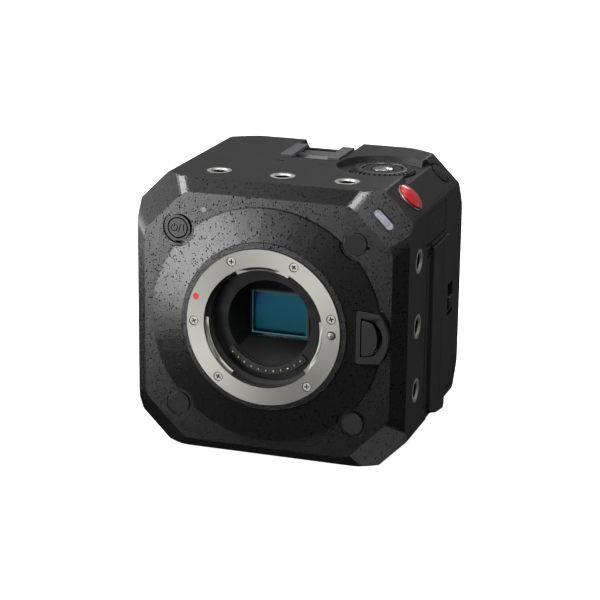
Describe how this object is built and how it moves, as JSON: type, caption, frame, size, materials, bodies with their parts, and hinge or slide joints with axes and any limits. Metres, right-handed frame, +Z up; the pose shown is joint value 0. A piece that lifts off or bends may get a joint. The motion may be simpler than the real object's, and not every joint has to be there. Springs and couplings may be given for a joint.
{
  "type": "box video camera",
  "caption": "Cube-shaped modular video camera body with a lens bayonet, control dial, card door, accessory shoe, threaded sockets and rear battery plate.",
  "frame": {"origin": "mouth of the middle tripod socket, in the plane of the bottom face", "axes": "+Z up, the lens looks along -Y, +X on the right seen from the front"},
  "size_m": [0.094, 0.0906, 0.0938],
  "materials": {
    "textured_paint": "matte black paint with a fine raised grain",
    "satin_paint": "smooth matte black paint on die-cast alloy",
    "trim_paint": "satin black paint",
    "cast_alloy": "raw die-cast alloy",
    "sink_alloy": "milled alloy",
    "mount_steel": "lathe-turned bright steel",
    "screw_steel": "bright steel",
    "black_screw": "black zinc",
    "index_red": "red enamel",
    "black_plastic": "black moulded plastic",
    "hub_ring": "dark grey satin",
    "set_metal": "dark satin metal",
    "link_steel": "plated steel",
    "spring_steel": "spring wire",
    "contact_gold": "gold plate",
    "sensor_glass": "coated clear glass",
    "sensor_ceramic": "black ceramic",
    "sensor_silicon": "teal silicon",
    "circuit_board": "green solder mask",
    "insert_steel": "bright steel",
    "cap_rubber": "black moulded rubber",
    "lamp_dark": "smoked lens",
    "lamp_white": "milky lens",
    "record_red": "red gloss",
    "record_chrome": "polished",
    "shoe_metal": "black oxide on pressed steel",
    "shoe_contact": "gold plate on black",
    "socket_nickel": "nickel plate",
    "socket_black": "black"
  },
  "bodies": {
    "camera_body": {"front_cover": "textured_paint", "top_cover": "satin_paint", "left_side_cover": "satin_paint", "right_side_cover": "satin_paint", "bottom_cover": "satin_paint", "rear_cover": "satin_paint", "mount_trim_ring": "trim_paint", "chassis_frame": "cast_alloy", "heat_sink": "sink_alloy", "bayonet_mount": "mount_steel", "mount_screws": "screw_steel", "cover_screws": "black_screw", "mount_index_mark": "index_red", "lens_release_surround": "black_plastic", "battery_plate": "black_plastic", "light_baffle": "black_plastic", "lens_contact_block": "black_plastic", "fan_housing": "black_plastic", "card_reader": "black_plastic", "dial_hub": "hub_ring", "door_hinge_pin": "link_steel", "release_spring": "spring_steel", "lens_contact_pins": "contact_gold", "sensor_window": "sensor_glass", "sensor_package": "sensor_ceramic", "image_sensor": "sensor_silicon", "sensor_board": "circuit_board", "main_board": "circuit_board", "button_boards": "circuit_board", "socket_inserts": "insert_steel", "front_screw_caps": "cap_rubber", "power_lamp": "lamp_dark", "tally_lamp": "lamp_white", "record_button_ring": "record_chrome", "accessory_shoe": "shoe_metal", "shoe_contacts": "shoe_contact", "bnc_sockets": "socket_nickel", "lan_socket": "socket_nickel", "video_socket": "socket_nickel", "data_socket": "socket_nickel", "power_socket": "socket_black", "plug_sockets": "socket_black", "battery_terminals": "socket_black"},
    "power_button_body": {"power_button": "black_plastic"},
    "record_button_body": {"record_button": "record_red"},
    "function_button_body": {"function_button": "black_plastic"},
    "lens_release": {"lens_release_button": "black_plastic", "release_link": "link_steel", "lens_lock_pin": "mount_steel"},
    "dial": {"control_dial": "black_plastic"},
    "rocker": {"pad_rocker": "black_plastic"},
    "pad": {"cursor_pad": "black_plastic"},
    "set_key": {"set_button": "set_metal"},
    "door": {"card_door": "satin_paint"},
    "catch": {"door_catch": "black_plastic"},
    "port_flap": {"port_cover": "cap_rubber"},
    "jack_flap": {"jack_cover": "cap_rubber"},
    "battery_latch": {"battery_release": "black_plastic"},
    "fan": {"fan_rotor": "black_plastic"}
  },
  "joints": [
    {"name": "power_press", "type": "slide", "parent": "camera_body", "child": "power_button_body", "axis": [0, 1, 0], "range_m": [0, 0.0003], "stiffness_N_per_m": 600},
    {"name": "record_press", "type": "slide", "parent": "camera_body", "child": "record_button_body", "axis": [-0.7071, 0, -0.7071], "range_m": [0, 0.0004], "stiffness_N_per_m": 600},
    {"name": "function_press", "type": "slide", "parent": "camera_body", "child": "function_button_body", "axis": [-0.7071, 0, -0.7071], "range_m": [0, 0.0004], "stiffness_N_per_m": 600},
    {"name": "lens_release_press", "type": "slide", "parent": "camera_body", "child": "lens_release", "axis": [0, 1, 0], "range_m": [0, 0.0012], "stiffness_N_per_m": 900, "deforming": ["release_spring"]},
    {"name": "dial_spin", "type": "hinge", "parent": "camera_body", "child": "dial", "pos_m": [0.0262, 0.003, 0.091], "axis": [0, 0, 1], "continuous": true},
    {"name": "rocker_tilt", "type": "hinge", "parent": "camera_body", "child": "rocker", "pos_m": [0.0262, 0.003, 0.08725], "axis": [1, 0, 0], "range_deg": [-3, 3], "stiffness_Nm_per_rad": 0.05},
    {"name": "pad_tilt", "type": "hinge", "parent": "rocker", "child": "pad", "pos_m": [0.0262, 0.003, 0.0884], "axis": [0, 1, 0], "range_deg": [-3, 3], "stiffness_Nm_per_rad": 0.05},
    {"name": "set_press", "type": "slide", "parent": "camera_body", "child": "set_key", "axis": [0, 0, -1], "range_m": [0, 0.0004], "stiffness_N_per_m": 600},
    {"name": "door_swing", "type": "hinge", "parent": "camera_body", "child": "door", "pos_m": [0.045, -0.0103, 0.04], "axis": [0, 0, -1], "range_deg": [0, 100]},
    {"name": "catch_slide", "type": "slide", "parent": "camera_body", "child": "catch", "axis": [0, 0, 1], "range_m": [0, 0.004]},
    {"name": "port_swing", "type": "hinge", "parent": "camera_body", "child": "port_flap", "pos_m": [0.04595, -0.01285, 0.0763], "axis": [0, 0, -1], "range_deg": [0, 90]},
    {"name": "jack_swing", "type": "hinge", "parent": "camera_body", "child": "jack_flap", "pos_m": [0.04595, 0.0228, 0.01275], "axis": [0, 1, 0], "range_deg": [0, 90]},
    {"name": "battery_release_slide", "type": "slide", "parent": "camera_body", "child": "battery_latch", "axis": [0, 0, -1], "range_m": [0, 0.0012], "stiffness_N_per_m": 300},
    {"name": "fan_spin", "type": "hinge", "parent": "camera_body", "child": "fan", "pos_m": [-0.0409, 0.007, 0.0465], "axis": [1, 0, 0], "continuous": true}
  ]
}
